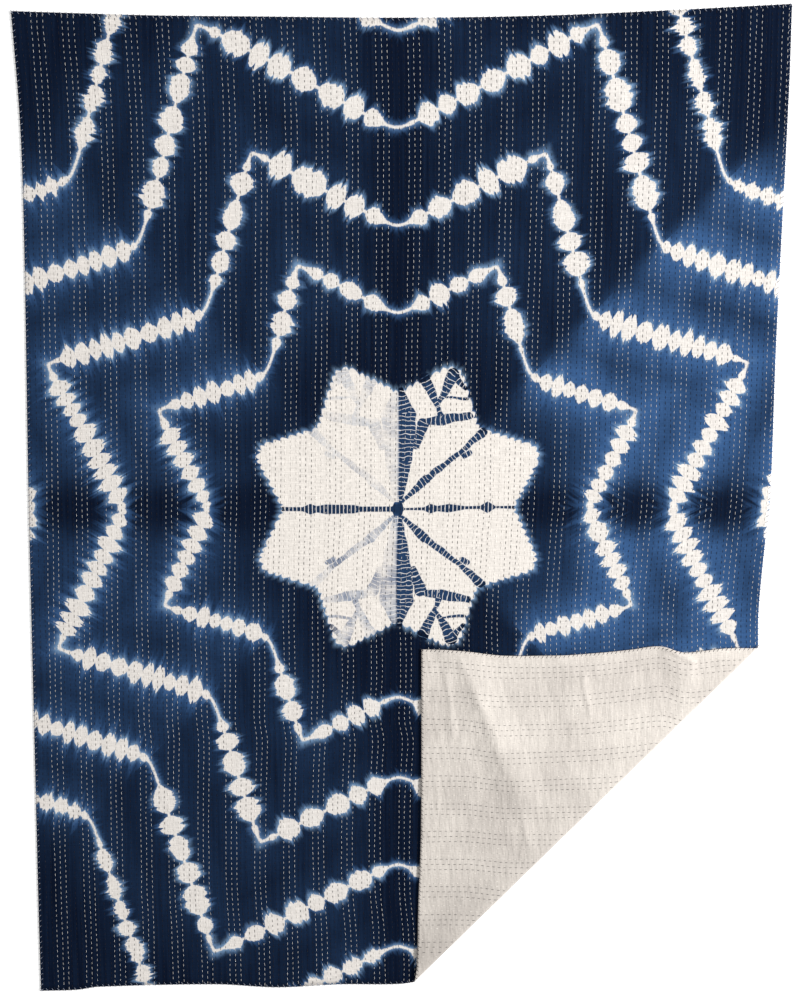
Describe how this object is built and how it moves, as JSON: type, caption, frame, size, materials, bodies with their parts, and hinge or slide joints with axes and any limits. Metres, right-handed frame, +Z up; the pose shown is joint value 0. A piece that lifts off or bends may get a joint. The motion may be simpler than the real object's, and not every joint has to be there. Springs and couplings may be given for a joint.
{
  "type": "kantha throw",
  "caption": "Two-layer quilted cotton throw with a resist-dyed star front, lying flat with one corner folded over to show its plain back.",
  "frame": {"origin": "on the surface below, under the middle of the throw's outline", "axes": "+Y along the throw's length, away from the folded corner; +X across it, towards the folded corner's side; +Z up, out of the dyed front"},
  "size_m": [1.35, 1.804, 0.014],
  "materials": {
    "indigo_dyed_cotton": "hand-woven cotton, resist-dyed in indigo with undyed white rings, quilted with running stitch",
    "cream_cotton": "plain undyed cotton, lightly puckered by the quilting",
    "quilting_thread": "matt cotton thread"
  },
  "bodies": {
    "root": {"front_cloth": "indigo_dyed_cotton", "back_cloth": "cream_cotton"}
  },
  "joints": []
}
